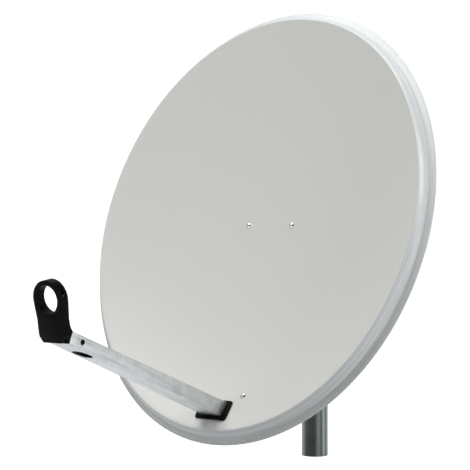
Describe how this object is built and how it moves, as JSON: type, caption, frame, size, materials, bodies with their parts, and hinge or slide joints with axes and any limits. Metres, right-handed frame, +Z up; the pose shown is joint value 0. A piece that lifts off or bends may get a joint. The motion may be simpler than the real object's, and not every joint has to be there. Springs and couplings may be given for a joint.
{
  "type": "satellite dish",
  "caption": "Offset satellite dish: painted steel reflector on a rear carrier, mast bracket with azimuth and elevation adjustment, feed arm with a split neck clamp, short mast.",
  "frame": {"origin": "centre of the mast's lower end", "axes": "+Z up along the mast, -Y towards the side the dish looks to, +X to the right seen from in front of -Y looking along +Y"},
  "size_m": [0.6694, 0.674, 0.7472],
  "materials": {
    "dish_paint": "light grey powder coat, slightly satin",
    "galvanised_steel": "galvanised sheet with a soft spangle",
    "zinc_fasteners": "bright zinc plate",
    "mast_steel": "smooth drawn steel tube with long reflections",
    "black_plastic": "moulded UV-stable black plastic with a fine grain",
    "grey_plastic": "soft grey plastic"
  },
  "bodies": {
    "mast": {"mast_tube": "mast_steel", "mast_cap": "black_plastic"},
    "azimuth_head": {"mast_bracket": "galvanised_steel", "clamp_jaw_upper": "galvanised_steel", "clamp_jaw_lower": "galvanised_steel", "clamp_bolts": "zinc_fasteners", "clamp_washers": "zinc_fasteners", "clamp_nuts": "zinc_fasteners"},
    "dish": {"reflector": "dish_paint", "dish_carrier": "galvanised_steel", "reflector_bolts": "zinc_fasteners", "cushion_washers": "grey_plastic", "reflector_washers": "zinc_fasteners", "reflector_nuts": "zinc_fasteners", "pivot_bolts": "zinc_fasteners", "pivot_washers": "zinc_fasteners", "pivot_nuts": "zinc_fasteners", "lock_bolts": "zinc_fasteners", "lock_washers": "zinc_fasteners", "lock_nuts": "zinc_fasteners", "feed_arm": "galvanised_steel", "arm_grommet": "black_plastic", "arm_bolts": "zinc_fasteners", "arm_washers": "zinc_fasteners", "arm_nuts": "zinc_fasteners", "feed_holder": "black_plastic", "feed_clamp_cap": "black_plastic", "clamp_cap_screws": "zinc_fasteners"}
  },
  "joints": [
    {"name": "azimuth_turn", "type": "hinge", "parent": "mast", "child": "azimuth_head", "pos_m": [0, 0, 0.294], "axis": [0, 0, 1], "continuous": true},
    {"name": "elevation_tilt", "type": "hinge", "parent": "azimuth_head", "child": "dish", "pos_m": [0, -0.088, 0.3], "axis": [-1, 0, 0], "range_deg": [-27.6, 17.4]}
  ]
}
